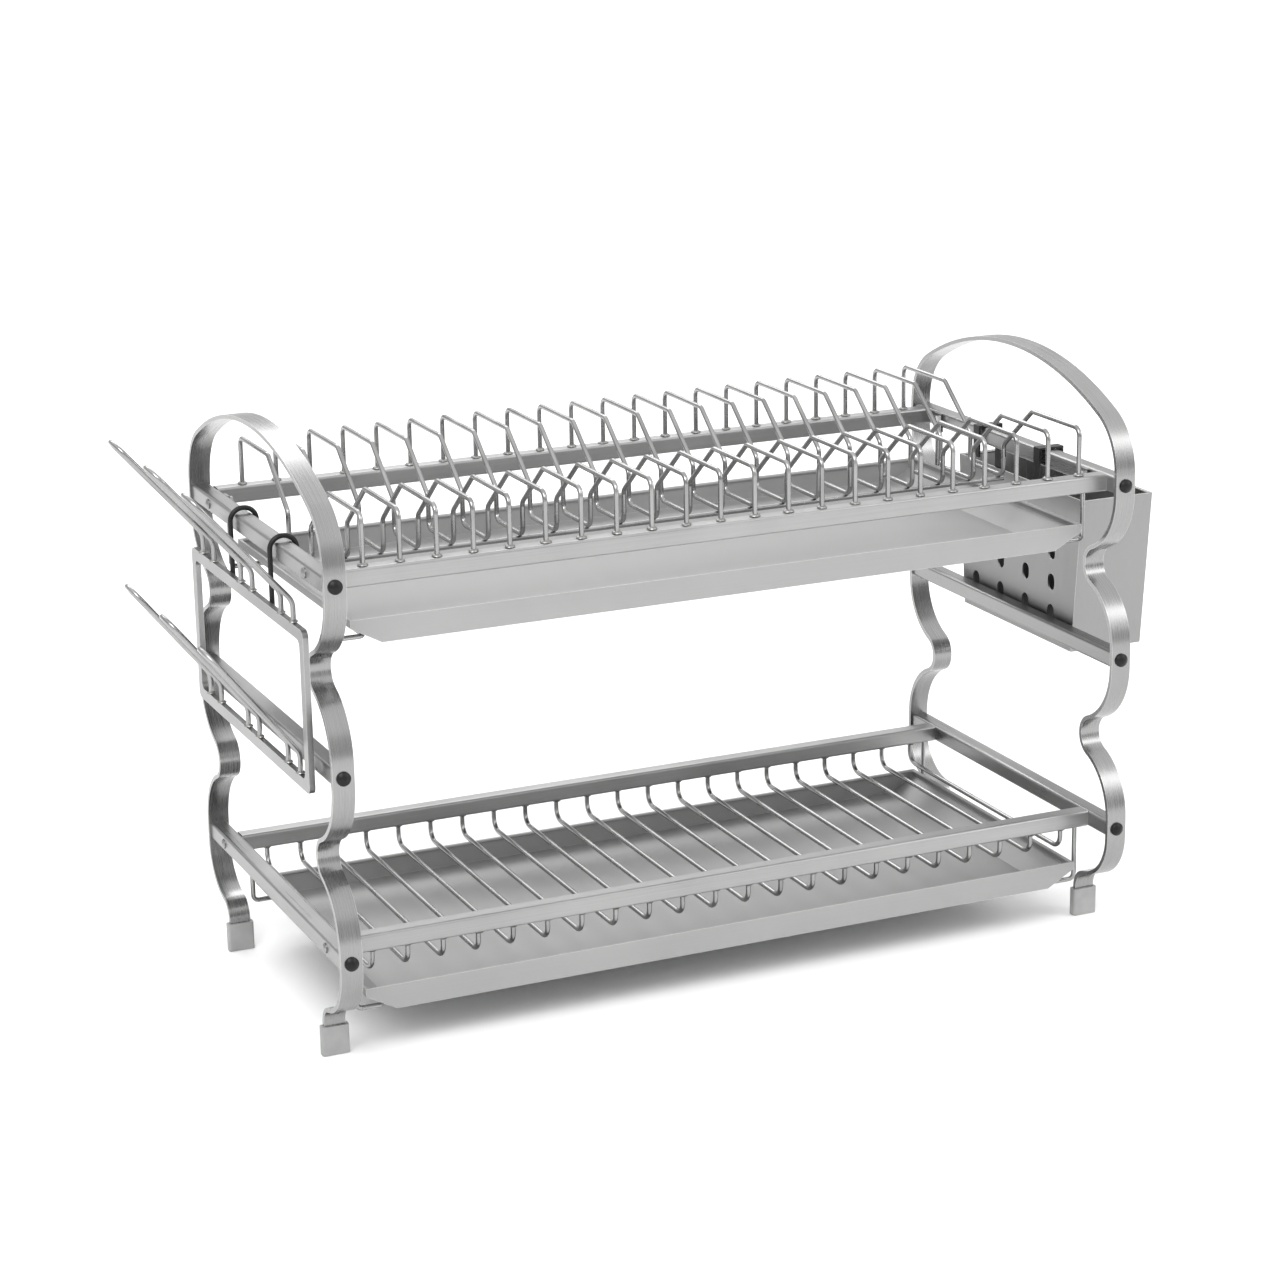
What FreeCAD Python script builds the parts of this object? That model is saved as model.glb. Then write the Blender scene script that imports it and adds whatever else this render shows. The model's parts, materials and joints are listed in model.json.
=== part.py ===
import FreeCAD, Part
import math
import os
from types import SimpleNamespace

# Two-tier dish drying rack: two bent side frames joined by square tube rails, a row of
# plate wires on top, a row of basket wires below, two drip trays that slide out to the
# front, a cup rack hung on the left end and a cutlery box hung on the right end.
# X runs along the rack, -Y is the front, Z is up. The origin is the middle of the
# whole object's footprint, on the surface that the rack stands on.

Vector = FreeCAD.Vector
Rotation = FreeCAD.Rotation
Placement = FreeCAD.Placement

SIZES = [
    ("frame_length", 576, "side frame to side frame, strip centres"),
    ("frame_depth", 290, "front leg to rear leg, strip centres at the rails"),
    ("lower_level", 78, "height of the lower rails' centres"),
    ("tier_spacing", 125.6, "from one rail level to the next"),
    ("arch_rise", 76.5, "top of the arch above the upper rails' centres"),
    ("arch_corner_radius", 45, "tight end of the arch"),
    ("strip_width", 15, "side frame strip, along X"),
    ("strip_thickness", 3, "side frame strip"),
    ("crest_flat", 14, "straight stretch of strip behind each rail end"),
    ("neck_depth", 38, "how far the legs bend in between two levels"),
    ("neck_radius", 14, "bend at each neck"),
    ("foot_inset", 41, "how far the feet stand in from the rail ends"),
    ("foot_straight", 22, "height of the upright end of each leg"),
    ("cap_width", 19, "foot cap, along X"),
    ("cap_depth", 7, "foot cap, along Y"),
    ("cap_height", 20, "foot cap"),
    ("cap_floor", 3, "foot cap, under the strip"),
    ("rail_size", 12, "square tube"),
    ("rail_wall", 1.2, "square tube"),
    ("rail_corner", 2, "outer corner radius of the tube"),
    ("upper_rail_inset", 19, "long rails of the plate tier, in from the legs' centres"),
    ("lower_rail_inset", 33, "long rails of the basket tier, in from the legs' centres"),
    ("insert_length", 14, "threaded insert in a rail end"),
    ("leg_screw_head", 9.5, "head diameter"),
    ("leg_screw_dome", 3.2, "head height"),
    ("rail_screw_head", 7, "head diameter"),
    ("rail_screw_dome", 2.2, "head height"),
    ("screw_shank", 4, "shank diameter"),
    ("screw_clearance", 0.4, "hole larger than shank"),
    ("leg_screw_grip", 11, "shank length inside the insert"),
    ("wire_diameter", 3.4, "plate, basket, hanger and cup rack wire"),
    ("wire_count", 22, "wires in each row"),
    ("wire_end_gap", 25.5, "last wire to side frame centre"),
    ("hump_rise", 33.5, "plate wire top above the rail top"),
    ("hump_inner", 63, "inner end of the plate wire's top run, from the middle"),
    ("valley_half", 24, "plate wire's inner legs, from the middle"),
    ("shoulder_rise", 2, "top of the inner legs above the rail top"),
    ("valley_drop", 21, "plate wire valley below the rail top"),
    ("wire_bend", 6, "bend radius of plate wires"),
    ("basket_drop", 15, "basket wire bottom below the rail underside"),
    ("basket_bend", 9, "bend radius of basket wires"),
    ("tray_inset", 26, "front and rear rims, in from the legs' centres"),
    ("tray_height", 17, "rim to underside"),
    ("tray_sheet", 1, "sheet thickness"),
    ("tray_end_wall", 5.5, "upright part of each short end"),
    ("tray_slope", 21, "run of the slope from the floor to each short end"),
    ("tray_side_gap", 8.3, "tray end to upper hanger leg"),
    ("tray_drop", 25, "rim below the rail underside"),
    ("runner_offset", 7, "hanger runner beyond the end of the tray's floor"),
    ("rim_bead", 2.4, "rolled rim diameter"),
    ("seat_gap", 0.3, "play between a lifted-off part and what carries it"),
    ("hanger_inset", 22, "upper hanger legs, in from the upper long rails"),
    ("hanger_tab", 2, "thickness of the hanger's screw tab"),
    ("tab_width", 10, "screw tab, along Y"),
    ("tab_below", 9, "screw tab below the screw"),
    ("hanger_bend", 4, "bend radius of tray hangers"),
    ("lower_hanger_inset", 7.5, "lower hanger legs in from the rail ends"),
    ("nut_size", 7, "across flats"),
    ("nut_height", 3, "hanger nut"),
    ("rack_width", 244, "cup rack frame, front to rear"),
    ("rack_height", 109, "cup rack frame"),
    ("rack_bar", 8, "face width of the cup rack bars"),
    ("rack_thickness", 4, "thickness of the cup rack bars"),
    ("rack_corner", 5, "corner radius of the cup rack frame"),
    ("rack_drop", 33, "cup rack top below the upper rails' centres"),
    ("loop_spacing", 86, "cup loops, centre to centre"),
    ("loop_width", 25, "wire to wire in one loop"),
    ("loop_rise", 14, "upright foot of a loop"),
    ("upper_loop_reach", 63, "how far a loop of the upper row leans out"),
    ("lower_loop_reach", 58, "how far a loop of the lower row leans out"),
    ("loop_lift", 73, "height of the leaning part"),
    ("loop_bend", 12, "bend radius where a loop leans out"),
    ("hook_spacing", 86, "hook to hook"),
    ("hook_gap", 1.5, "cup rack hook to rail face"),
    ("hook_drop", 22, "hook end below the rail top"),
    ("box_length", 176, "cutlery box, top, front to rear"),
    ("box_taper", 11, "each end slopes in by this at the bottom"),
    ("box_height", 115, "cutlery box"),
    ("box_width", 59, "cutlery box, along X"),
    ("box_sheet", 1.2, "sheet thickness"),
    ("box_drop", 26.5, "box rim below the upper rails' centres"),
    ("box_shift", 10, "box centre behind the frame's middle"),
    ("box_gap", 2, "box wall to the end rails"),
    ("slot_width", 9.5, "drain slot"),
    ("slot_height", 12.5, "drain slot"),
    ("slot_columns", 4, "drain slots from front to rear"),
    ("slot_rows", 4, "drain slots from bottom to top"),
    ("slot_pitch_y", 36, "columns of slots"),
    ("slot_pitch_z", 23, "rows of slots"),
    ("slot_first_y", 29, "front column behind the box's lower front corner"),
    ("slot_first_z", 23, "lowest row above the box bottom"),
    ("strap_width", 8, "cutlery box hook"),
    ("strap_thickness", 1.5, "cutlery box hook"),
    ("strap_foot", 20, "weld length inside the box"),
]

doc = FreeCAD.newDocument("dish_rack")
sheet = doc.addObject("Spreadsheet::Sheet", "Sizes")
for row, (alias, value, note) in enumerate(SIZES, start=1):
    sheet.set(f"A{row}", note)
    sheet.set(f"B{row}", str(value))
    sheet.setAlias(f"B{row}", alias)
doc.recompute()
size = SimpleNamespace(**{alias: float(sheet.get(alias)) for alias, _, _ in SIZES})

parts = []

# Places that follow from the sizes, measured from the middle of the frame.
WIRE_RADIUS = size.wire_diameter / 2
HALF_LENGTH = size.frame_length / 2
HALF_DEPTH = size.frame_depth / 2
HALF_RAIL = size.rail_size / 2
WIRES = int(size.wire_count)
WIRE_PITCH = (size.frame_length - 2 * size.wire_end_gap) / (WIRES - 1)
MID_LEVEL = size.lower_level + size.tier_spacing
UPPER_LEVEL = MID_LEVEL + size.tier_spacing
LEVELS = {"lower": size.lower_level, "mid": MID_LEVEL, "upper": UPPER_LEVEL}
RAIL_TOP = UPPER_LEVEL + HALF_RAIL
BASKET_UNDERSIDE = size.lower_level - HALF_RAIL
RAIL_END_Y = HALF_DEPTH - size.strip_thickness / 2
UPPER_RAIL_Y = HALF_DEPTH - size.upper_rail_inset
LOWER_RAIL_Y = HALF_DEPTH - size.lower_rail_inset
HANGER_Y = UPPER_RAIL_Y - size.hanger_inset
TRAY_HALF_DEPTH = HALF_DEPTH - size.tray_inset
END_RAIL_INNER = HALF_LENGTH - HALF_RAIL
END_RAIL_OUTER = HALF_LENGTH + HALF_RAIL
HANGER_X = END_RAIL_INNER - size.seat_gap - WIRE_RADIUS
TRAY_HALF = HANGER_X - WIRE_RADIUS - size.tray_side_gap
TRAY_FLOOR_HALF = TRAY_HALF - size.tray_slope
TRAY_SLOPE_ANGLE = math.atan2(size.tray_height - size.tray_end_wall, size.tray_slope)
RUNNER_X = TRAY_FLOOR_HALF + size.runner_offset
HOOK_X = END_RAIL_OUTER + size.hook_gap + WIRE_RADIUS
RACK_X = HOOK_X + WIRE_RADIUS + size.rack_thickness / 2
RACK_TOP = UPPER_LEVEL - size.rack_drop
BOX_X = END_RAIL_OUTER + size.box_gap
BOX_TOP = UPPER_LEVEL - size.box_drop
LEFT_REACH = RACK_X + max(size.upper_loop_reach, size.lower_loop_reach) + WIRE_RADIUS
RIGHT_REACH = BOX_X + size.box_width
FRAME_X = (LEFT_REACH - RIGHT_REACH) / 2

# The same tray length as above, as an expression on the sheet.
TRAY_LENGTH = ("Sizes.frame_length - Sizes.rail_size"
               " - 2 * (Sizes.seat_gap + Sizes.wire_diameter + Sizes.tray_side_gap)")

# A round end is bent to this share of its half width, which leaves a short straight.
FULL_BEND = 0.97


def move(obj, x=0, y=0, z=0, turn=Rotation()):
    """Place an object; x is measured from the middle of the frame."""
    obj.Placement = Placement(Vector(FRAME_X + x, y, z), turn)
    return obj


def keep(obj, label):
    """Mark an object as one finished sub-part."""
    obj.Label = label
    parts.append(obj)
    return obj


def box(name, length, width, height):
    """A box whose three sizes are expressions on the sheet."""
    obj = doc.addObject("Part::Box", name)
    obj.setExpression("Length", length)
    obj.setExpression("Width", width)
    obj.setExpression("Height", height)
    return obj


def cylinder(name, diameter, height):
    obj = doc.addObject("Part::Cylinder", name)
    obj.setExpression("Radius", f"({diameter}) / 2")
    obj.setExpression("Height", height)
    return obj


def cut(name, base, tools):
    """Take the tools out of the base."""
    obj = doc.addObject("Part::Cut", name)
    obj.Base = base
    if len(tools) == 1:
        obj.Tool = tools[0]
    else:
        together = doc.addObject("Part::MultiFuse", name + "_tools")
        together.Shapes = tools
        obj.Tool = together
    return obj


def fuse(name, shapes):
    obj = doc.addObject("Part::MultiFuse", name)
    obj.Shapes = shapes
    obj.Refine = True
    return obj


def arc_through(start, middle, end):
    """A sketch arc from three points on it."""
    circle = Part.Circle(start, middle, end)
    centre = circle.Center
    angles = [math.atan2(p.y - centre.y, p.x - centre.x) for p in (start, middle, end)]
    turn = 2 * math.pi
    ccw = (angles[1] - angles[0]) % turn < (angles[2] - angles[0]) % turn
    first, last = (angles[0], angles[2]) if ccw else (angles[2], angles[0])
    flat_circle = Part.Circle(centre, Vector(0, 0, 1), circle.Radius)
    return Part.ArcOfCircle(flat_circle, first, last)


def polygon(points):
    """Closed loop of sketch lines through (u, v) points."""
    corners = [Vector(u, v, 0) for u, v in points]
    return [Part.LineSegment(a, b) for a, b in zip(corners, corners[1:] + corners[:1])]


def rectangle(u0, v0, u1, v1):
    return polygon([(u0, v0), (u1, v0), (u1, v1), (u0, v1)])


def body_sketch(body, role, name, geometry, offset=0):
    """A sketch on one of the body's own origin planes."""
    sketch = body.newObject("Sketcher::SketchObject", name)
    plane = [f for f in body.Origin.OriginFeatures if f.Role == role][0]
    sketch.AttachmentSupport = [(plane, "")]
    sketch.MapMode = "FlatFace"
    sketch.AttachmentOffset = Placement(Vector(0, 0, offset), Rotation())
    sketch.addGeometry(geometry, False)
    return sketch


def pad(body, name, sketch, length):
    feature = body.newObject("PartDesign::Pad", name)
    feature.Profile = sketch
    feature.setExpression("Length", length)
    doc.recompute()
    return feature


def pocket(body, name, sketch, length, reverse=False):
    """Cut a pocket and make sure that it took something away."""
    before = body.Shape.Volume
    feature = body.newObject("PartDesign::Pocket", name)
    feature.Profile = sketch
    feature.Reversed = reverse
    feature.setExpression("Length", length)
    doc.recompute()
    if body.Shape.Volume > before - 1e-6:
        raise RuntimeError(f"{name} cut nothing")
    return feature


def rounded_path(points, radius):
    """Straight runs through the points, joined by tangent arcs. radius is one bend
    radius for every corner, or a list with one for each inner point."""
    corners = [Vector(*p) for p in points]
    radii = radius if isinstance(radius, list) else [radius] * (len(corners) - 2)
    edges = []
    start = corners[0]
    for before, corner, after, bend in zip(corners, corners[1:], corners[2:], radii):
        back = (before - corner).normalize()
        on = (after - corner).normalize()
        half_angle = back.getAngle(on) / 2
        run = bend / math.tan(half_angle)
        middle = (back + on).normalize() * (bend / math.sin(half_angle) - bend)
        arc_start = corner + back * run
        arc_end = corner + on * run
        if (arc_start - start).Length > 1e-6:
            edges.append(Part.LineSegment(start, arc_start).toShape())
        edges.append(Part.Arc(arc_start, corner + middle, arc_end).toShape())
        start = arc_end
    if (corners[-1] - start).Length > 1e-6:
        edges.append(Part.LineSegment(start, corners[-1]).toShape())
    return Part.Wire(edges)


def bent_wire(name, points, radius):
    """Route and round section of a bent wire, to be swept once or many times."""
    route = doc.addObject("Part::Feature", name + "_route")
    route.Shape = rounded_path(points, radius)
    section = doc.addObject("Part::Circle", name + "_section")
    section.setExpression("Radius", "Sizes.wire_diameter / 2")
    along = Vector(*points[1]) - Vector(*points[0])
    section.Placement = Placement(Vector(*points[0]), Rotation(Vector(0, 0, 1), along))
    return route, section


def sweep(name, route, section):
    obj = doc.addObject("Part::Sweep", name)
    obj.Sections = [section]
    obj.Spine = (route, [f"Edge{i + 1}" for i in range(len(route.Shape.Edges))])
    obj.Solid = True
    obj.Frenet = False
    return obj


# ---------------------------------------------------------------- side frames


def half_outline(side):
    """Centreline of the front half of a side frame as stretches of (point, outward
    normal) pairs: two for a straight stretch, three for an arc. side is -1."""
    stretches = []

    def point(y, z, normal_y, normal_z):
        return Vector(side * y, z, 0), Vector(side * normal_y, normal_z, 0)

    def straight(y, z0, z1):
        stretches.append([point(y, z0, 1, 0), point(y, z1, 1, 0)])

    def double_bend(y0, z0, y1, z1, tight):
        """From one upright stretch to the next; the bend at the inner one is tight."""
        shift = abs(y1 - y0)
        rise = z1 - z0
        total = (shift ** 2 + rise ** 2) / (2 * shift)
        first, last = (total - tight, tight) if y0 > y1 else (tight, total - tight)
        turn = math.asin(rise / total)
        for y, z, radius, centre_sign, a0, a1 in (
            (y0, z0, first, math.copysign(1, y1 - y0), 0, turn),
            (y1, z1, last, math.copysign(1, y0 - y1), -turn, 0),
        ):
            centre_y = y + centre_sign * radius
            arc = []
            for angle in (a0, (a0 + a1) / 2, a1):
                out_y = -centre_sign * math.cos(angle)
                out_z = math.sin(angle)
                flip = 1 if centre_sign < 0 else -1
                arc.append(point(centre_y + radius * out_y, z + radius * out_z,
                                 flip * out_y, flip * out_z))
            stretches.append(arc)

    flat = size.crest_flat / 2
    foot_y = HALF_DEPTH - size.foot_inset
    neck_y = HALF_DEPTH - size.neck_depth
    straight(foot_y, size.cap_floor, size.foot_straight)
    double_bend(foot_y, size.foot_straight, HALF_DEPTH, size.lower_level - flat,
                size.neck_radius)
    for level in (size.lower_level, MID_LEVEL):
        straight(HALF_DEPTH, level - flat, level + flat)
        neck_z = level + size.tier_spacing / 2
        double_bend(HALF_DEPTH, level + flat, neck_y, neck_z, size.neck_radius)
        double_bend(neck_y, neck_z, HALF_DEPTH, level + size.tier_spacing - flat,
                    size.neck_radius)
    straight(HALF_DEPTH, UPPER_LEVEL - flat, UPPER_LEVEL + flat)

    corner = size.arch_corner_radius
    rise = size.arch_rise - flat
    across = HALF_DEPTH - corner
    crown = (across ** 2 + rise ** 2 - corner ** 2) / (2 * (rise - corner))
    spring_z = UPPER_LEVEL + flat
    meeting = math.atan2(crown - rise, across)
    for centre_y, centre_z, radius, a0, a1 in (
        (across, spring_z, corner, 0, meeting),
        (0, spring_z + rise - crown, crown, meeting, math.pi / 2),
    ):
        arc = []
        for angle in (a0, (a0 + a1) / 2, a1):
            out_y, out_z = math.cos(angle), math.sin(angle)
            arc.append(point(centre_y + radius * out_y, centre_z + radius * out_z,
                             out_y, out_z))
        stretches.append(arc)
    return stretches


def strip_outline():
    """Closed outline of the whole strip, front foot to rear foot."""
    half = size.strip_thickness / 2
    front = half_outline(-1)
    rear = half_outline(1)
    geometry = []
    for stretches in (front, rear):
        for offset in (half, -half):
            for stretch in stretches:
                line = [p + normal * offset for p, normal in stretch]
                if len(line) == 2:
                    geometry.append(Part.LineSegment(*line))
                else:
                    geometry.append(arc_through(*line))
        foot, normal = stretches[0][0]
        geometry.append(Part.LineSegment(foot + normal * half, foot - normal * half))
    return geometry


def side_frame(label, x):
    """Bent strip, drilled for the leg screws at each crest."""
    body = doc.addObject("PartDesign::Body", label + "_strip")
    outline = body_sketch(body, "YZ_Plane", label + "_outline", strip_outline())
    pad(body, label + "_pad", outline, "Sizes.strip_width")
    move(body, x - size.strip_width / 2)
    drills = []
    for name, level in LEVELS.items():
        drill = cylinder(f"{label}_{name}_drill", "Sizes.screw_shank + Sizes.screw_clearance",
                         "Sizes.frame_depth + 4 * Sizes.strip_thickness")
        across = HALF_DEPTH + 2 * size.strip_thickness
        move(drill, x, across, level, Rotation(Vector(1, 0, 0), 90))
        drills.append(drill)
    keep(cut(label + "_drilled", body, drills), label)


def foot_cap(label, x, y):
    """Plastic shoe with a pocket for the end of the strip."""
    body = doc.addObject("PartDesign::Body", label)
    half_x, half_y = size.cap_width / 2, size.cap_depth / 2
    outer = body_sketch(body, "XY_Plane", label + "_outline",
                        rectangle(-half_x, -half_y, half_x, half_y))
    pad(body, label + "_pad", outer, "Sizes.cap_height")
    slot_x, slot_y = size.strip_width / 2, size.strip_thickness / 2
    slot = body_sketch(body, "XY_Plane", label + "_slot",
                       rectangle(-slot_x, -slot_y, slot_x, slot_y), size.cap_floor)
    pocket(body, label + "_pocket", slot, "Sizes.cap_height", reverse=True)
    upright = [f"Edge{i + 1}" for i, e in enumerate(body.Shape.Edges)
               if abs(e.Length - size.cap_height) < 1e-6]
    pocketed = body.Tip
    edge_round = body.newObject("PartDesign::Fillet", label + "_round")
    edge_round.Base = (pocketed, upright)
    edge_round.setExpression("Radius", "Sizes.cap_depth / 4")
    doc.recompute()
    move(body, x, y)
    keep(body, label)


# ---------------------------------------------------------------------- rails


def square_tube(name, length, along_x):
    """Hollow tube with rounded corners, centred on the origin, along X or Y."""
    bore_size = "Sizes.rail_size - 2 * Sizes.rail_wall"
    if along_x:
        outer = box(name + "_outer", length, "Sizes.rail_size", "Sizes.rail_size")
        bore = box(name + "_bore", length, bore_size, bore_size)
    else:
        outer = box(name + "_outer", "Sizes.rail_size", length, "Sizes.rail_size")
        bore = box(name + "_bore", bore_size, length, bore_size)
    doc.recompute()
    half = (outer.Length.Value / 2, outer.Width.Value / 2, outer.Height.Value / 2)
    outer.Placement.Base = Vector(*(-h for h in half))
    inner = (bore.Length.Value / 2, bore.Width.Value / 2, bore.Height.Value / 2)
    bore.Placement.Base = Vector(*(-h for h in inner))
    doc.recompute()
    span = max(half) * 2
    rounded = doc.addObject("Part::Fillet", name + "_rounded")
    rounded.Base = outer
    rounded.Edges = [(i + 1, size.rail_corner, size.rail_corner)
                     for i, e in enumerate(outer.Shape.Edges) if abs(e.Length - span) < 1e-6]
    return rounded, bore


def long_rail(label, y, level):
    """Tube between the two end rails of a tier."""
    outer, bore = square_tube(label, "Sizes.frame_length - Sizes.rail_size", along_x=True)
    rail = cut(label + "_tube", outer, [bore])
    move(rail, 0, y, level)
    keep(rail, label)


def end_rail(label, x, level, screw_y=None):
    """Tube between the front and the rear leg, drilled for cross screws if it has any."""
    outer, bore = square_tube(label, "Sizes.frame_depth - Sizes.strip_thickness",
                              along_x=False)
    tools = [bore]
    screws = [-screw_y, screw_y] if screw_y else []
    for number, y in enumerate(screws, start=1):
        drill = cylinder(f"{label}_drill_{number}",
                         "Sizes.screw_shank + Sizes.screw_clearance", "2 * Sizes.rail_size")
        drill.Placement = Placement(Vector(-size.rail_size, y, 0),
                                    Rotation(Vector(0, 1, 0), 90))
        tools.append(drill)
    rail = cut(label + "_tube", outer, tools)
    move(rail, x, 0, level)
    keep(rail, label)


def threaded_insert():
    """Block that fills a rail end and takes a screw; its bore runs along +X."""
    side = size.rail_size - 2 * size.rail_wall
    block = Part.makeBox(size.insert_length, side, side, Vector(0, -side / 2, -side / 2))
    bore = Part.makeCylinder(size.screw_shank / 2, size.insert_length, Vector(0, 0, 0),
                             Vector(1, 0, 0))
    return block.cut(bore)


def screw(head_diameter, dome, shank_length):
    """Round-headed screw: the head sits on the plane x = 0, the shank runs to +X."""
    radius = head_diameter / 2
    shank = size.screw_shank / 2
    edge = dome / 3
    cap = dome - edge
    sphere = (radius ** 2 + cap ** 2) / (2 * cap)
    half_angle = math.asin(radius / sphere) / 2
    crown = Vector(sphere - dome - sphere * math.cos(half_angle),
                   sphere * math.sin(half_angle), 0)
    corners = [Vector(-dome, 0, 0), Vector(shank_length, 0, 0),
               Vector(shank_length, shank, 0), Vector(0, shank, 0), Vector(0, radius, 0),
               Vector(-edge, radius, 0)]
    profile = [Part.LineSegment(a, b).toShape() for a, b in zip(corners, corners[1:])]
    profile.append(Part.Arc(corners[-1], crown, corners[0]).toShape())
    face = Part.Face(Part.Wire(profile))
    return face.revolve(Vector(0, 0, 0), Vector(1, 0, 0), 360)


def hex_nut():
    """Nut on the hanger tab; its bore runs along +X."""
    corner = size.nut_size / math.sqrt(3)
    points = [Vector(0, corner * math.cos(a * math.pi / 3), corner * math.sin(a * math.pi / 3))
              for a in range(7)]
    prism = Part.Face(Part.makePolygon(points)).extrude(Vector(size.nut_height, 0, 0))
    bore = Part.makeCylinder(size.screw_shank / 2, size.nut_height, Vector(0, 0, 0),
                             Vector(1, 0, 0))
    return prism.cut(bore)


def group(label, shapes):
    """Identical small pieces that share one sub-part."""
    obj = doc.addObject("Part::Feature", label)
    obj.Shape = Part.makeCompound(shapes)
    move(obj)
    keep(obj, label)


def placed(shape, x, y, z, direction):
    """Copy of a shape made along +X, turned to a direction and set at a point."""
    copy = shape.copy()
    copy.Placement = Placement(Vector(x, y, z), Rotation(Vector(1, 0, 0), direction))
    return copy


def frame_fasteners():
    insert = threaded_insert()
    leg_screw = screw(size.leg_screw_head, size.leg_screw_dome,
                      size.strip_thickness + size.leg_screw_grip)
    rail_screw = screw(size.rail_screw_head, size.rail_screw_dome,
                       size.rail_size + size.leg_screw_grip)
    hanger_screw = screw(size.rail_screw_head, size.rail_screw_dome,
                         size.rail_size + size.hanger_tab + size.nut_height)
    nut = hex_nut()
    inserts, leg_screws, rail_screws, hanger_fixings = [], [], [], []
    for x_side in (-1, 1):
        x = x_side * HALF_LENGTH
        inward_x = Vector(-x_side, 0, 0)
        for y_side in (-1, 1):
            inward_y = Vector(0, -y_side, 0)
            for level in LEVELS.values():
                inserts.append(placed(insert, x, y_side * RAIL_END_Y, level, inward_y))
                face_y = y_side * (HALF_DEPTH + size.strip_thickness / 2)
                leg_screws.append(placed(leg_screw, x, face_y, level, inward_y))
            inserts.append(placed(insert, x_side * END_RAIL_INNER, y_side * LOWER_RAIL_Y,
                                  size.lower_level, inward_x))
            rail_screws.append(placed(rail_screw, x_side * END_RAIL_OUTER,
                                      y_side * LOWER_RAIL_Y, size.lower_level, inward_x))
            hanger_fixings.append(placed(hanger_screw, x_side * END_RAIL_OUTER,
                                         y_side * HANGER_Y, UPPER_LEVEL, inward_x))
            hanger_fixings.append(placed(nut, x_side * (END_RAIL_INNER - size.hanger_tab),
                                         y_side * HANGER_Y, UPPER_LEVEL, inward_x))
    group("rail_end_inserts", inserts)
    group("leg_screws", leg_screws)
    group("lower_rail_screws", rail_screws)
    group("hanger_screws_and_nuts", hanger_fixings)


# ---------------------------------------------------------------------- wires


def plate_wires():
    """Row of M-shaped wires that the plates stand between."""
    top = RAIL_TOP + size.hump_rise
    shoulder = RAIL_TOP + size.shoulder_rise
    valley = RAIL_TOP - size.valley_drop
    rear = [(0, UPPER_RAIL_Y, RAIL_TOP), (0, UPPER_RAIL_Y, top), (0, size.hump_inner, top),
            (0, size.valley_half, shoulder), (0, size.valley_half, valley)]
    front = [(x, -y, z) for x, y, z in reversed(rear)]
    route, section = bent_wire("plate_wire", rear + front, size.wire_bend)
    for number in range(WIRES):
        wire = sweep(f"plate_wire_{number + 1:02d}", route, section)
        move(wire, (number - (WIRES - 1) / 2) * WIRE_PITCH)
        keep(wire, f"plate_wire_{number + 1:02d}")


def plate_tie_rod():
    """Straight rod under the front corners of the valleys."""
    rod = cylinder("plate_tie_rod", "Sizes.wire_diameter",
                   "Sizes.frame_length - 2 * Sizes.wire_end_gap + 2 * Sizes.wire_diameter")
    length = size.frame_length - 2 * size.wire_end_gap + 2 * size.wire_diameter
    valley = RAIL_TOP - size.valley_drop
    move(rod, -length / 2, -size.valley_half + size.wire_bend, valley - size.wire_diameter,
         Rotation(Vector(0, 1, 0), 90))
    keep(rod, "plate_tie_rod")


def basket_wires():
    """Row of shallow U-shaped wires between the lower rails."""
    bottom = BASKET_UNDERSIDE - size.basket_drop
    points = [(0, LOWER_RAIL_Y, BASKET_UNDERSIDE), (0, LOWER_RAIL_Y, bottom),
              (0, -LOWER_RAIL_Y, bottom), (0, -LOWER_RAIL_Y, BASKET_UNDERSIDE)]
    route, section = bent_wire("basket_wire", points, size.basket_bend)
    wire = sweep("basket_wire", route, section)
    doc.recompute()
    shapes = []
    for number in range(WIRES):
        copy = wire.Shape.copy()
        copy.Placement.Base = Vector((number - (WIRES - 1) / 2) * WIRE_PITCH, 0, 0)
        shapes.append(copy)
    group("basket_wires", shapes)


def tray_floor(level):
    """Height of a tray's underside below the rails of its tier."""
    return level - HALF_RAIL - size.tray_drop - size.tray_height


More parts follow.
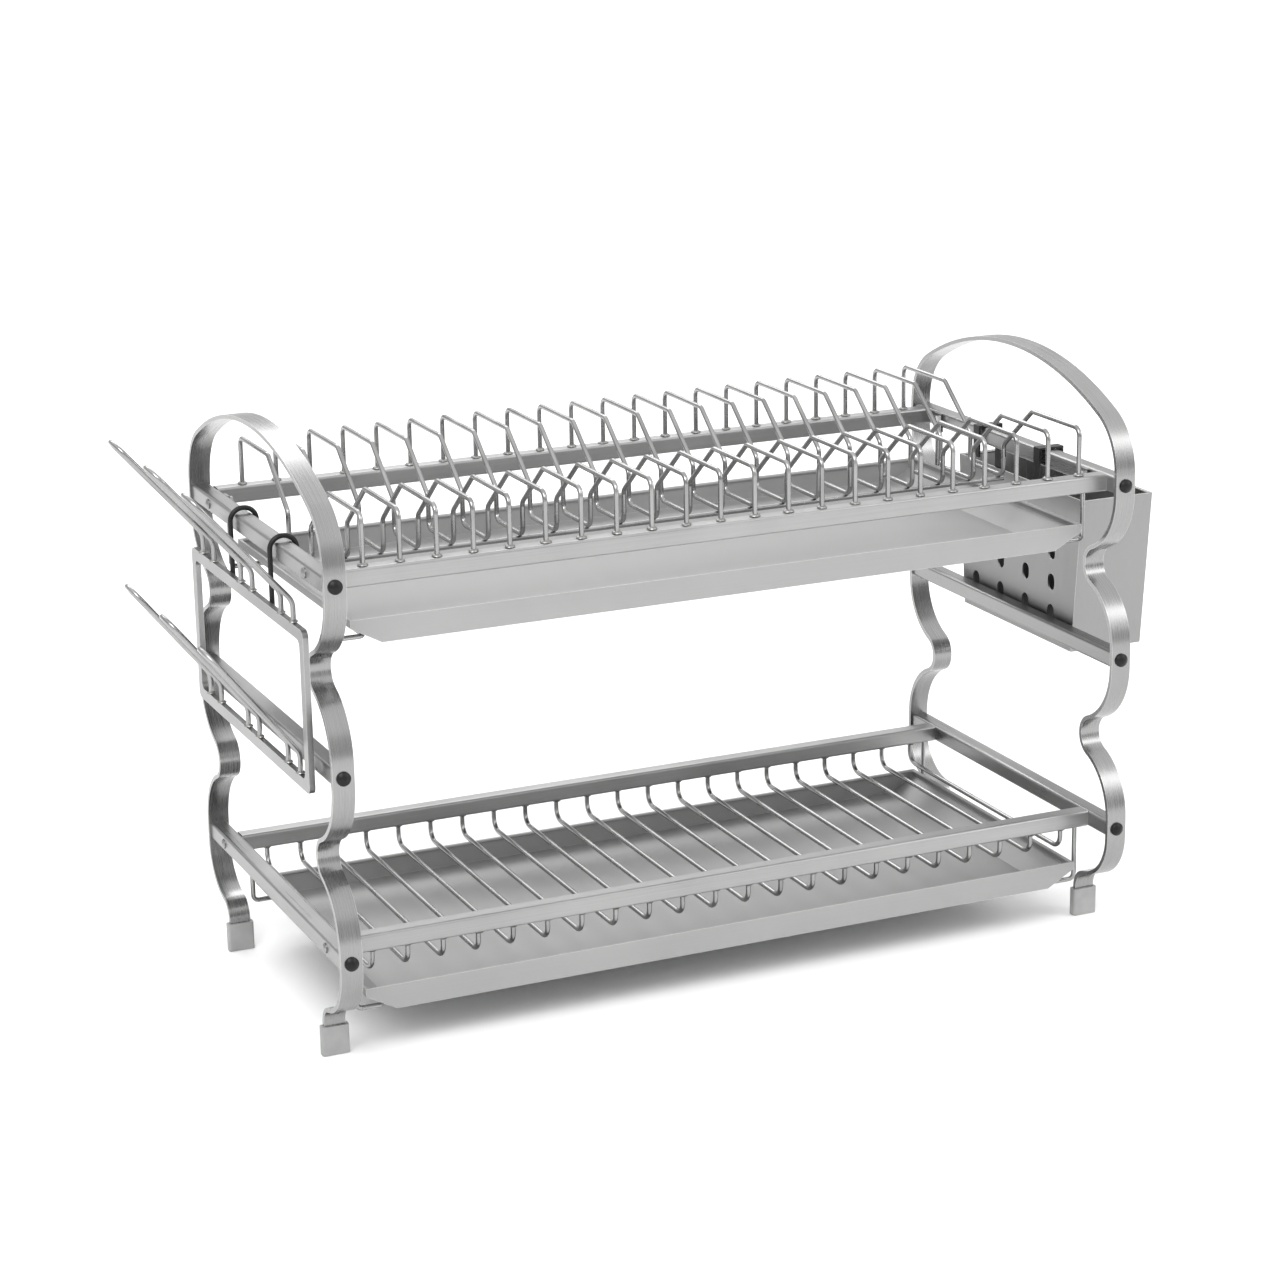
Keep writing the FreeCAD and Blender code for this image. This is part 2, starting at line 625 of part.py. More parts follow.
def tray_hanger(label, side, level, leg_y, tabbed):
    """Wire cradle that carries one end of a drip tray: two legs, joined by a runner
    that is set inward under the tray's slope."""
    slope_z = tray_floor(level) + size.runner_offset * math.tan(TRAY_SLOPE_ANGLE)
    runner_z = slope_z - (WIRE_RADIUS + size.seat_gap) / math.cos(TRAY_SLOPE_ANGLE)
    leg_top = level - size.tab_below / 2 if tabbed else level - HALF_RAIL
    x_leg = side * (HANGER_X if tabbed else END_RAIL_INNER - size.lower_hanger_inset)
    x_run = side * RUNNER_X
    points = [(x_leg, leg_y, leg_top), (x_leg, leg_y, runner_z), (x_run, leg_y, runner_z),
              (x_run, -leg_y, runner_z), (x_leg, -leg_y, runner_z), (x_leg, -leg_y, leg_top)]
    route, section = bent_wire(label, points, size.hanger_bend)
    wire = sweep(label + "_wire", route, section)
    if not tabbed:
        move(wire)
        keep(wire, label)
        return
    pieces = [wire]
    drills = []
    for end in (-1, 1):
        tab = box(f"{label}_tab_{end + 1}", "Sizes.hanger_tab", "Sizes.tab_width",
                  "Sizes.tab_below + Sizes.tab_width / 2")
        tab_x = END_RAIL_INNER - size.hanger_tab if side > 0 else -END_RAIL_INNER
        tab.Placement.Base = Vector(tab_x, end * leg_y - size.tab_width / 2,
                                    level - size.tab_below)
        pieces.append(tab)
        drill = cylinder(f"{label}_drill_{end + 1}", "Sizes.screw_shank",
                         "2 * Sizes.rail_size")
        drill.Placement = Placement(Vector(side * HALF_LENGTH - size.rail_size, end * leg_y, level),
                                    Rotation(Vector(0, 1, 0), 90))
        drills.append(drill)
    welded = fuse(label + "_welded", pieces)
    hanger = cut(label + "_drilled", welded, drills)
    move(hanger)
    keep(hanger, label)


# ----------------------------------------------------------------- drip trays


def drip_tray(label, level):
    """Shallow sheet pan: a slope and a short upright at each end, upright long walls
    with a rolled rim."""
    low = tray_floor(level)
    rim = low + size.tray_height
    knee = rim - size.tray_end_wall
    wall_t = size.tray_sheet
    inset = wall_t * math.tan(TRAY_SLOPE_ANGLE / 2)
    drop = wall_t * math.tan(math.pi / 4 - TRAY_SLOPE_ANGLE / 2)
    outer = [(-TRAY_HALF, rim), (-TRAY_HALF, knee), (-TRAY_FLOOR_HALF, low),
             (TRAY_FLOOR_HALF, low), (TRAY_HALF, knee), (TRAY_HALF, rim)]
    inner_half = TRAY_HALF - wall_t
    inner_floor = TRAY_FLOOR_HALF - inset
    inner = [(inner_half, rim), (inner_half, knee + drop), (inner_floor, low + wall_t),
             (-inner_floor, low + wall_t), (-inner_half, knee + drop), (-inner_half, rim)]
    body = doc.addObject("PartDesign::Body", label)
    half = TRAY_HALF_DEPTH
    profile = body_sketch(body, "XZ_Plane", label + "_profile", polygon(outer + inner), -half)
    pad(body, label + "_sheet", profile, "Sizes.frame_depth - 2 * Sizes.tray_inset")
    for name, offset in (("rear", -half), ("front", half - wall_t)):
        side = body_sketch(body, "XZ_Plane", f"{label}_{name}_outline", polygon(outer), offset)
        pad(body, f"{label}_{name}_wall", side, "Sizes.tray_sheet")
    for name, y in (("rear", half - size.rim_bead / 2), ("front", -half + size.rim_bead / 2)):
        bead = Part.Circle(Vector(y, rim - size.rim_bead / 2, 0), Vector(0, 0, 1),
                           size.rim_bead / 2)
        ring = body_sketch(body, "YZ_Plane", f"{label}_{name}_bead_section", [bead], -TRAY_HALF)
        pad(body, f"{label}_{name}_bead", ring, TRAY_LENGTH)
    move(body)
    keep(body, label)


# ------------------------------------------------------------------- cup rack


def cup_rack():
    """Flat-bar frame with two rows of leaning cup loops, hung by two wire hooks."""
    low = RACK_TOP - size.rack_height
    half = size.rack_width / 2
    body = doc.addObject("PartDesign::Body", "cup_rack_frame")
    outline = rectangle(-half, low, half, RACK_TOP)
    window = rectangle(-half + size.rack_bar, low + size.rack_bar, half - size.rack_bar,
                       RACK_TOP - size.rack_bar)
    face = body_sketch(body, "YZ_Plane", "cup_rack_outline", outline + window)
    pad(body, "cup_rack_pad", face, "Sizes.rack_thickness")
    corners = [f"Edge{i + 1}" for i, e in enumerate(body.Shape.Edges)
               if abs(e.Length - size.rack_thickness) < 1e-6]
    padded = body.Tip
    corner_round = body.newObject("PartDesign::Fillet", "cup_rack_round")
    corner_round.Base = (padded, corners)
    corner_round.setExpression("Radius", "Sizes.rack_corner")
    doc.recompute()
    move(body, -RACK_X - size.rack_thickness / 2)
    keep(body, "cup_rack_frame")

    half_loop = size.loop_width / 2
    tip_z = size.loop_rise + size.loop_lift
    tip_bend = half_loop * FULL_BEND
    bends = [size.loop_bend, tip_bend, tip_bend, size.loop_bend]
    for row, base, reach in (("upper", RACK_TOP, size.upper_loop_reach),
                             ("lower", low + size.rack_bar, size.lower_loop_reach)):
        points = [(0, -half_loop, 0), (0, -half_loop, size.loop_rise),
                  (-reach, -half_loop, tip_z), (-reach, half_loop, tip_z),
                  (0, half_loop, size.loop_rise), (0, half_loop, 0)]
        route, section = bent_wire(f"{row}_cup_loop", points, bends)
        for place, y in (("front", -size.loop_spacing), ("middle", 0),
                         ("rear", size.loop_spacing)):
            label = f"{row}_{place}_cup_loop"
            loop = sweep(label, route, section)
            move(loop, -RACK_X, y, base)
            keep(loop, label)

    # The hook's round top clears the rail's rounded corners by the seat gap.
    hook_radius = HOOK_X - HALF_LENGTH
    corner = HALF_RAIL - size.rail_corner
    spare = hook_radius - WIRE_RADIUS - size.seat_gap - size.rail_corner
    hook_top = UPPER_LEVEL + corner - math.sqrt(spare ** 2 - corner ** 2) + hook_radius
    hook_inner = HALF_LENGTH - hook_radius
    points = [(-HOOK_X, 0, RACK_TOP - size.rack_bar), (-HOOK_X, 0, hook_top),
              (-hook_inner, 0, hook_top), (-hook_inner, 0, RAIL_TOP - size.hook_drop)]
    route, section = bent_wire("cup_rack_hook", points, hook_radius * FULL_BEND)
    hook = sweep("cup_rack_hook", route, section)
    doc.recompute()
    hooks = []
    for side in (-1, 1):
        copy = hook.Shape.copy()
        copy.Placement.Base = Vector(0, side * size.hook_spacing / 2, 0)
        hooks.append(copy)
    group("cup_rack_hooks", hooks)


# ---------------------------------------------------------------- cutlery box


def cutlery_box():
    """Open box with tapering ends and drain slots in the wall beside the rails."""
    low = BOX_TOP - size.box_height
    wall = size.box_sheet
    top_half = size.box_length / 2
    low_half = top_half - size.box_taper
    middle = size.box_shift

    def end_shape(inset, floor, rim):
        slope = size.box_taper / size.box_height
        low_at = low_half + slope * (floor - low) - inset
        rim_at = low_half + slope * (rim - low) - inset
        return [(middle - low_at, floor), (middle + low_at, floor),
                (middle + rim_at, rim), (middle - rim_at, rim)]

    body = doc.addObject("PartDesign::Body", "cutlery_box")
    outer = body_sketch(body, "YZ_Plane", "cutlery_box_outline",
                        polygon(end_shape(0, low, BOX_TOP)))
    pad(body, "cutlery_box_pad", outer, "Sizes.box_width")
    hollow = body_sketch(body, "YZ_Plane", "cutlery_box_hollow",
                         polygon(end_shape(wall, low + wall, BOX_TOP + wall)), wall)
    pocket(body, "cutlery_box_inside", hollow, "Sizes.box_width - 2 * Sizes.box_sheet",
           reverse=True)
    slots = []
    half_w = size.slot_width / 2
    straight = (size.slot_height - size.slot_width) / 2
    for row in range(int(size.slot_rows)):
        z = low + size.slot_first_z + row * size.slot_pitch_z
        for column in range(int(size.slot_columns)):
            y = middle - low_half + size.slot_first_y + column * size.slot_pitch_y
            up, down = z + straight, z - straight
            slots += [
                Part.LineSegment(Vector(y + half_w, down, 0), Vector(y + half_w, up, 0)),
                arc_through(Vector(y + half_w, up, 0), Vector(y, up + half_w, 0),
                            Vector(y - half_w, up, 0)),
                Part.LineSegment(Vector(y - half_w, up, 0), Vector(y - half_w, down, 0)),
                arc_through(Vector(y - half_w, down, 0), Vector(y, down - half_w, 0),
                            Vector(y + half_w, down, 0)),
            ]
    grid = body_sketch(body, "YZ_Plane", "cutlery_box_slots", slots)
    pocket(body, "cutlery_box_drain", grid, "2 * Sizes.box_sheet", reverse=True)
    move(body, BOX_X)
    keep(body, "cutlery_box")

    thick = size.strap_thickness
    strap_out = BOX_X + wall
    strap_in = END_RAIL_INNER - size.box_gap
    over = RAIL_TOP + size.seat_gap
    end = RAIL_TOP - size.hook_drop
    foot = BOX_TOP - size.strap_foot
    outline = [(strap_out, foot), (strap_out, over), (strap_in, over), (strap_in, end),
               (strap_in - thick, end), (strap_in - thick, over + thick),
               (strap_out + thick, over + thick), (strap_out + thick, foot)]
    corners = [Vector(x, 0, z) for x, z in outline]
    face = Part.Face(Part.makePolygon(corners + corners[:1]))
    straps = []
    for side in (-1, 1):
        strap = face.extrude(Vector(0, size.strap_width, 0))
        strap.translate(Vector(0, side * size.hook_spacing / 2 - size.strap_width / 2, 0))
        straps.append(strap)
    group("cutlery_box_hooks", straps)


# ----------------------------------------------------------------- the object

for side, name in ((-1, "left"), (1, "right")):
    x = side * HALF_LENGTH
    side_frame(f"{name}_side_frame", x)
    for y_side, place in ((-1, "front"), (1, "rear")):
        foot_cap(f"{name}_{place}_foot_cap", x, y_side * (HALF_DEPTH - size.foot_inset))
    end_rail(f"upper_{name}_end_rail", x, UPPER_LEVEL, HANGER_Y)
    end_rail(f"mid_{name}_end_rail", x, MID_LEVEL)
    end_rail(f"lower_{name}_end_rail", x, size.lower_level, LOWER_RAIL_Y)
    tray_hanger(f"upper_{name}_tray_hanger", side, UPPER_LEVEL, HANGER_Y, True)
    tray_hanger(f"lower_{name}_tray_hanger", side, size.lower_level, LOWER_RAIL_Y, False)
for y_side, place in ((-1, "front"), (1, "rear")):
    long_rail(f"upper_{place}_rail", y_side * UPPER_RAIL_Y, UPPER_LEVEL)
    long_rail(f"lower_{place}_rail", y_side * LOWER_RAIL_Y, size.lower_level)
frame_fasteners()
plate_wires()
plate_tie_rod()
basket_wires()
drip_tray("upper_drip_tray", UPPER_LEVEL)
drip_tray("lower_drip_tray", size.lower_level)
cup_rack()
cutlery_box()
doc.recompute()

failed = [o.Name for o in doc.Objects if "Invalid" in o.State or "Error" in o.State]
failed += [o.Label for o in parts if o.Shape.isNull() or not o.Shape.isValid()]
if failed:
    raise RuntimeError(f"these failed: {failed}")
os.makedirs("parts", exist_ok=True)
for part in parts:
    part.Shape.exportStep(f"parts/{part.Label}.step")
print(f"{len(parts)} sub-parts written")
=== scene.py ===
import json
import math

import bpy
from mathutils import Matrix, Vector


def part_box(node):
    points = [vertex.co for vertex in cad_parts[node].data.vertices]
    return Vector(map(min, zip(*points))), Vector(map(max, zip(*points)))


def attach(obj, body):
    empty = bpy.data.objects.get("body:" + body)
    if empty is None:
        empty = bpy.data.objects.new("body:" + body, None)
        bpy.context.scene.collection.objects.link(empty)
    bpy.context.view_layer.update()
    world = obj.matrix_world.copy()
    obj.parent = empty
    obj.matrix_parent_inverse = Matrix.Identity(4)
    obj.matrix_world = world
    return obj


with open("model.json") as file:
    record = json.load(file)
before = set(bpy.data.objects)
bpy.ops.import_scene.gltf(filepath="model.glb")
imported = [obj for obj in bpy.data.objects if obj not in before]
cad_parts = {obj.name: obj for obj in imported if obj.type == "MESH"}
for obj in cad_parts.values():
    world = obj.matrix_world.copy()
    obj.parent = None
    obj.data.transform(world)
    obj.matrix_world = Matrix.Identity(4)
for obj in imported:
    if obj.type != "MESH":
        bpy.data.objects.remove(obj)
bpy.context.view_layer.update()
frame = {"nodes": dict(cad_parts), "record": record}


# ------------------------------------------------------------------ materials

def grey(level):
    return (level, level, level)


def steel(level):
    """Grey with a trace of blue taken out."""
    return (level, level, level - 0.002)


# Wear: how far from an edge the wear reaches, and how much the surface has to turn there,
# as the cosine where the wear is full and the cosine where it starts.
EDGE_REACH = 0.0006
FULL_WEAR = 0.8
FIRST_WEAR = 0.995
WORN_STEEL = (0.62, 0.62, 0.61)
RUBBED_PLASTIC = (0.4, 0.4, 0.39)

# Grain of brushed sheet and tube: small along the brushing, large across it.
LENGTHWISE = (6.0, 900.0, 900.0)
DEPTHWISE = (900.0, 6.0, 900.0)
UPRIGHT = (900.0, 900.0, 8.0)
ALONG_STRIP = (2200.0, 14.0, 14.0)


class Finish:
    """One material: a Principled shader and helpers that wire procedural nodes into it."""

    def __init__(self, name, metallic, roughness, colour):
        self.material = bpy.data.materials.new(name)
        self.material.use_nodes = True
        self.tree = self.material.node_tree
        self.shader = self.tree.nodes["Principled BSDF"]
        self.shader.inputs["Metallic"].default_value = metallic
        self.shader.inputs["Roughness"].default_value = roughness
        self.shader.inputs["Base Color"].default_value = (*colour, 1)
        self.place = self.add("ShaderNodeTexCoord").outputs["Object"]

    def add(self, kind, **settings):
        node = self.tree.nodes.new(kind)
        for key, value in settings.items():
            setattr(node, key, value)
        return node

    def link(self, source, target):
        self.tree.links.new(source, target)

    def stretched(self, scale):
        """Object coordinates stretched by a different amount along each axis."""
        mapping = self.add("ShaderNodeMapping")
        mapping.inputs["Scale"].default_value = scale
        self.link(self.place, mapping.inputs["Vector"])
        return mapping.outputs["Vector"]

    def noise(self, vector, scale, detail=3.0, roughness=0.5):
        node = self.add("ShaderNodeTexNoise")
        node.inputs["Scale"].default_value = scale
        node.inputs["Detail"].default_value = detail
        node.inputs["Roughness"].default_value = roughness
        self.link(vector, node.inputs["Vector"])
        return node.outputs["Fac"]

    def spread(self, value, low, high, start=0.3, end=0.7):
        """Map a value between start and end to the range from low to high."""
        node = self.add("ShaderNodeMapRange")
        node.inputs["From Min"].default_value = start
        node.inputs["From Max"].default_value = end
        node.inputs["To Min"].default_value = low
        node.inputs["To Max"].default_value = high
        self.link(value, node.inputs["Value"])
        return node.outputs["Result"]

    def total(self, first, second):
        node = self.add("ShaderNodeMath", operation="ADD")
        self.link(first, node.inputs[0])
        self.link(second, node.inputs[1])
        return node.outputs["Value"]

    def shades(self, value, dark, light):
        """Colour that runs from dark to light with a value."""
        node = self.add("ShaderNodeMix", data_type="RGBA")
        node.inputs["A"].default_value = (*dark, 1)
        node.inputs["B"].default_value = (*light, 1)
        self.link(value, node.inputs["Factor"])
        return node.outputs["Result"]

    def tinted(self, colour, tint, amount):
        """Varying colour that turns to a fixed tint by a varying amount."""
        node = self.add("ShaderNodeMix", data_type="RGBA")
        self.link(amount, node.inputs["Factor"])
        self.link(colour, node.inputs["A"])
        node.inputs["B"].default_value = (*tint, 1)
        return node.outputs["Result"]

    def worn_edges(self, colour, worn):
        """The colour, turned to the worn colour where the surface bends sharply."""
        shape = self.add("ShaderNodeBevel", samples=4)
        shape.inputs["Radius"].default_value = EDGE_REACH
        plain = self.add("ShaderNodeNewGeometry")
        turn = self.add("ShaderNodeVectorMath", operation="DOT_PRODUCT")
        self.link(shape.outputs["Normal"], turn.inputs[0])
        self.link(plain.outputs["Normal"], turn.inputs[1])
        wear = self.spread(turn.outputs["Value"], 1.0, 0.0, FULL_WEAR, FIRST_WEAR)
        return self.tinted(colour, worn, wear)

    def set_colour(self, colour):
        self.link(colour, self.shader.inputs["Base Color"])

    def set_roughness(self, value):
        self.link(value, self.shader.inputs["Roughness"])

    def set_bump(self, height, strength, distance):
        node = self.add("ShaderNodeBump")
        node.inputs["Strength"].default_value = strength
        node.inputs["Distance"].default_value = distance
        self.link(height, node.inputs["Height"])
        self.link(node.outputs["Normal"], self.shader.inputs["Normal"])


def brushed_metal(name, dark, light, roughness, grain, brush=0.25, metallic=1.0):
    """Brushed steel: fine scratches along one axis, cloudy tone, lighter edges."""
    finish = Finish(name, metallic, roughness, light)
    streaks = finish.noise(finish.stretched(grain), scale=1.0, detail=5.0, roughness=0.65)
    clouds = finish.noise(finish.place, scale=14.0, detail=2.0)
    tone = finish.total(finish.spread(streaks, 0.0, 0.5), finish.spread(clouds, 0.0, 0.5))
    finish.set_colour(finish.worn_edges(finish.shades(tone, dark, light), WORN_STEEL))
    finish.set_roughness(finish.total(
        finish.spread(streaks, -0.06, 0.08),
        finish.spread(clouds, roughness - 0.04, roughness + 0.05)))
    finish.set_bump(streaks, strength=brush, distance=0.00012)
    return finish.material


def drawn_wire(name, dark, light, roughness):
    """Polished wire: faint drawing marks and a cloudy tone."""
    finish = Finish(name, 1.0, roughness, light)
    marks = finish.noise(finish.place, scale=900.0, detail=3.0, roughness=0.6)
    clouds = finish.noise(finish.place, scale=30.0, detail=2.0)
    finish.set_colour(finish.shades(finish.spread(clouds, 0.0, 1.0), dark, light))
    finish.set_roughness(finish.spread(clouds, roughness - 0.05, roughness + 0.08))
    finish.set_bump(marks, strength=0.12, distance=0.00006)
    return finish.material


def moulded_plastic(name, dark, light, roughness):
    """Grey moulded plastic with a fine spark-eroded grain and rubbed edges."""
    finish = Finish(name, 0.0, roughness, light)
    grain = finish.noise(finish.place, scale=2600.0, detail=2.0, roughness=0.7)
    clouds = finish.noise(finish.place, scale=60.0, detail=2.0)
    colour = finish.shades(finish.spread(clouds, 0.0, 1.0), dark, light)
    finish.set_colour(finish.worn_edges(colour, RUBBED_PLASTIC))
    finish.set_roughness(finish.spread(grain, roughness - 0.08, roughness + 0.08))
    finish.set_bump(grain, strength=0.3, distance=0.00008)
    return finish.material


def black_lacquer(name, dark, light, roughness):
    """Black lacquer, slightly orange-peeled."""
    finish = Finish(name, 0.0, roughness, light)
    finish.shader.inputs["Specular IOR Level"].default_value = 0.25
    peel = finish.noise(finish.place, scale=1500.0, detail=2.0)
    finish.set_colour(finish.shades(finish.spread(peel, 0.0, 1.0), dark, light))
    finish.set_roughness(finish.spread(peel, roughness - 0.07, roughness + 0.07))
    finish.set_bump(peel, strength=0.25, distance=0.00008)
    return finish.material


def welded_steel(name, dark, light, roughness, tint):
    """Weld bead: rippled, a little straw-coloured by the heat."""
    finish = Finish(name, 1.0, roughness, light)
    ripples = finish.noise(finish.place, scale=1400.0, detail=2.0, roughness=0.6)
    heat = finish.noise(finish.place, scale=160.0, detail=2.0)
    colour = finish.shades(finish.spread(ripples, 0.0, 1.0), dark, light)
    finish.set_colour(finish.tinted(colour, tint, finish.spread(heat, 0.0, 0.5)))
    finish.set_roughness(finish.spread(ripples, roughness - 0.08, roughness + 0.08))
    finish.set_bump(ripples, strength=0.4, distance=0.0001)
    return finish.material


# One finish for each material slot of the record.
FINISHES = {
    "frame_strip": brushed_metal("satin_strip", grey(0.25), steel(0.35), roughness=0.25,
                                 grain=ALONG_STRIP, brush=0.15),
    "rail_tube": brushed_metal("satin_tube", grey(0.31), steel(0.4), roughness=0.36,
                               grain=LENGTHWISE, metallic=0.85),
    "wire": drawn_wire("bright_wire", grey(0.26), steel(0.37), roughness=0.25),
    "tray_sheet": brushed_metal("brushed_tray", grey(0.32), steel(0.39), roughness=0.58,
                                grain=LENGTHWISE, metallic=0.6),
    "box_sheet": brushed_metal("brushed_box", grey(0.26), steel(0.33), roughness=0.45,
                               grain=UPRIGHT),
    "rack_bar": brushed_metal("satin_bar", grey(0.25), steel(0.34), roughness=0.32,
                              grain=ALONG_STRIP),
    "cap_plastic": moulded_plastic("grey_cap", grey(0.26), steel(0.33), roughness=0.5),
    "screw_black": black_lacquer("black_screw", grey(0.004), grey(0.01), roughness=0.4),
    "fixing_steel": drawn_wire("plain_fixing", grey(0.28), grey(0.38), roughness=0.33),
    "hook_steel": black_lacquer("black_hook", grey(0.008), grey(0.02), roughness=0.38),
}
# The end rails run front to rear, so their brushing does too. Their colour is also darker than
# the long rails' tube, as painted shade.
SHADED_END_TUBE = brushed_metal("satin_end_tube_painted_shade", grey(0.25), steel(0.34), roughness=0.32,
                         grain=DEPTHWISE)
WELD = welded_steel("weld_bead", grey(0.24), steel(0.35), roughness=0.38,
                    tint=(0.3, 0.285, 0.26))

SLOT_OF = {part["node"]: part["material_slot"] for part in frame["record"]["subparts"]}
# End rails take the darker tube finish, which is painted shade.
for node, part in frame["nodes"].items():
    material = SHADED_END_TUBE if node.endswith("end_rail") else FINISHES[SLOT_OF[node]]
    for slot in part.material_slots:
        slot.material = material


# ----------------------------------------------------------------- weld beads

# A bead's radius and height, in metres.
WIRE_BEAD = (0.0029, 0.0016)
LOOP_BEAD = (0.0026, 0.0015)
CROWN_START = 0.6       # the crown is what stands above this share of the height
CROWN_SPREAD = 1.25
SINK = 0.0002           # how far a bead's flat face stands inside the bar
UNEVENNESS = 0.12       # most that a bead is stretched or shrunk, as a share of its size
UNEVEN_STEP = 2.4       # radians from bead to bead along the wave that sets the stretch
TURN_STEP = 1.7         # radians that each bead is turned on from the one before


def let_go():
    """Leave nothing selected, so that an operator acts on one new piece only."""
    bpy.ops.object.select_all(action="DESELECT")


def pick_faces(piece, wanted):
    """Select the faces whose centre passes a test, and stay in edit mode."""
    bpy.ops.object.mode_set(mode="EDIT")
    bpy.ops.mesh.select_mode(type="FACE")
    bpy.ops.mesh.select_all(action="DESELECT")
    bpy.ops.object.mode_set(mode="OBJECT")
    for face in piece.data.polygons:
        face.select = wanted(face.center)
    bpy.ops.object.mode_set(mode="EDIT")


def weld_bead(radius, height):
    """One low bead, its flat face on z = 0: a ball cut at its waist, flattened, and its
    crown widened."""
    let_go()
    bpy.ops.mesh.primitive_uv_sphere_add(segments=12, ring_count=6, radius=radius)
    bead = bpy.context.object
    bpy.ops.object.mode_set(mode="EDIT")
    bpy.ops.mesh.select_all(action="SELECT")
    bpy.ops.mesh.bisect(plane_co=(0, 0, 0), plane_no=(0, 0, 1), clear_inner=True, use_fill=True)
    bpy.ops.mesh.select_all(action="SELECT")
    bpy.ops.transform.resize(value=(1, 1, height / radius))
    bpy.ops.object.mode_set(mode="OBJECT")
    pick_faces(bead, lambda centre: centre.z > height * CROWN_START)
    bpy.ops.transform.resize(value=(CROWN_SPREAD, CROWN_SPREAD, 1), center_override=(0, 0, 0))
    bpy.ops.object.mode_set(mode="OBJECT")
    bpy.ops.object.shade_smooth_by_angle(angle=math.radians(60))
    return bead


def weld_row(name, places, body, bead_size, upward=True):
    """Copies of one bead, each a little different, joined to one piece."""
    pattern = weld_bead(*bead_size)
    side_up = Matrix.Rotation(0 if upward else math.pi, 4, "X")
    let_go()
    beads = []
    for number, place in enumerate(places):
        bead = bpy.data.objects.new(f"{name}_{number}", pattern.data.copy())
        bpy.context.scene.collection.objects.link(bead)
        stretch = 1 + UNEVENNESS * math.sin(number * UNEVEN_STEP)
        size = Matrix.Diagonal((stretch, 2 - stretch, stretch, 1))
        turn = Matrix.Rotation(number * TURN_STEP, 4, "Z")
        bead.data.transform(Matrix.Translation(place) @ side_up @ turn @ size)
        bead.select_set(True)
        beads.append(bead)
    bpy.context.view_layer.objects.active = beads[0]
    bpy.ops.object.join()
    row = bpy.context.object
    row.name = name
    row.data.materials.clear()
    row.data.materials.append(WELD)
    bpy.data.objects.remove(pattern)
    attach(row, body)


def corners_of(node):
    """Lowest and highest corner of a node's box."""
    return [Vector(corner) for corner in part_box(node)]


ROD_LOW, ROD_HIGH = corners_of("plate_tie_rod")
WIRE_RADIUS = (ROD_HIGH.z - ROD_LOW.z) / 2


def wire_ends(low, high, x, z):
    """Centres of a wire's front and rear end, at x and z, from the box of the wires."""
    return [Vector((x, y, z)) for y in (low.y + WIRE_RADIUS, high.y - WIRE_RADIUS)]


UPPER_RAIL_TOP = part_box("upper_front_rail")[1][2]
LOWER_RAIL_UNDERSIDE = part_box("lower_front_rail")[0][2]
BASKET_LOW, BASKET_HIGH = corners_of("basket_wires")

# Plate wires stand on the upper rails. Basket wires hang below the lower rails, one under
# each plate wire.
plate_places = []
basket_places = []
for node in sorted(n for n in frame["nodes"] if n.startswith("plate_wire_")):
    low, high = corners_of(node)
    across = (low.x + high.x) / 2
    plate_places += wire_ends(low, high, across, UPPER_RAIL_TOP - SINK)
    basket_places += wire_ends(BASKET_LOW, BASKET_HIGH, across, LOWER_RAIL_UNDERSIDE + SINK)
weld_row("plate_wire_welds", plate_places, "frame", WIRE_BEAD)
weld_row("basket_wire_welds", basket_places, "frame", WIRE_BEAD, upward=False)

# Cup loops stand on the bars of the cup rack, and lean out from there.
loop_places = []
for node in sorted(n for n in frame["nodes"] if n.endswith("cup_loop")):
    low, high = corners_of(node)
    loop_places += wire_ends(low, high, high.x - WIRE_RADIUS, low.z - SINK)
weld_row("cup_loop_welds", loop_places, "cup_rack", LOOP_BEAD)


# ----------------------------------------------------------------- rolled rims

CORNER_STEPS = 5


def rounded_corners(low, high, level, radius):
    """Points round a level rectangle with rounded corners."""
    points = []
    for x, y, start in ((high.x - radius, high.y - radius, 0),
                        (low.x + radius, high.y - radius, 1),
                        (low.x + radius, low.y + radius, 2),
                        (high.x - radius, low.y + radius, 3)):
        for step in range(CORNER_STEPS + 1):
            angle = (start + step / CORNER_STEPS) * math.pi / 2
            points.append((x + radius * math.cos(angle), y + radius * math.sin(angle), level))
    return points


def rolled_edge(name, corners, tube, body, slot):
    """Rolled edge of a sheet: the closed line through the corners, given a round section."""
    let_go()
    bpy.ops.curve.primitive_bezier_curve_add()
    edge = bpy.context.object
    line = edge.data
    line.splines.clear()
    spline = line.splines.new("POLY")
    spline.points.add(len(corners) - 1)
    for point, corner in zip(spline.points, corners):
        point.co = (*corner, 1)
    spline.use_cyclic_u = True
    line.dimensions = "3D"
    line.bevel_depth = tube
    line.bevel_resolution = 3
    bpy.ops.object.convert(target="MESH")
    edge = bpy.context.object
    edge.name = name
    bpy.ops.object.shade_smooth_by_angle(angle=math.radians(40))
    bpy.ops.object.mode_set(mode="EDIT")
    bpy.ops.mesh.select_all(action="SELECT")
    bpy.ops.mesh.normals_make_consistent(inside=False)
    bpy.ops.object.mode_set(mode="OBJECT")
    edge.data.materials.clear()
    edge.data.materials.append(FINISHES[slot])
    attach(edge, body)


# Each rim: its sheet's node, body and slot, the roll's radius and the corners' radius.
RIMS = (("upper_drip_tray", "upper_tray", "tray_sheet", 0.0012, 0.003),
        ("lower_drip_tray", "lower_tray", "tray_sheet", 0.0012, 0.003),
        ("cutlery_box", "cutlery", "box_sheet", 0.0011, 0.0025))
for node, body, slot, roll, corner in RIMS:
    low, high = corners_of(node)
    inset = Vector((roll, roll, 0))
    ring = rounded_corners(low + inset, high - inset, high.z - roll, corner)
    rolled_edge(node + "_rim", ring, roll, body, slot)


# ---------------------------------------------------------- floor, light, view

def add_to_scene(thing):
    bpy.context.scene.collection.objects.link(thing)


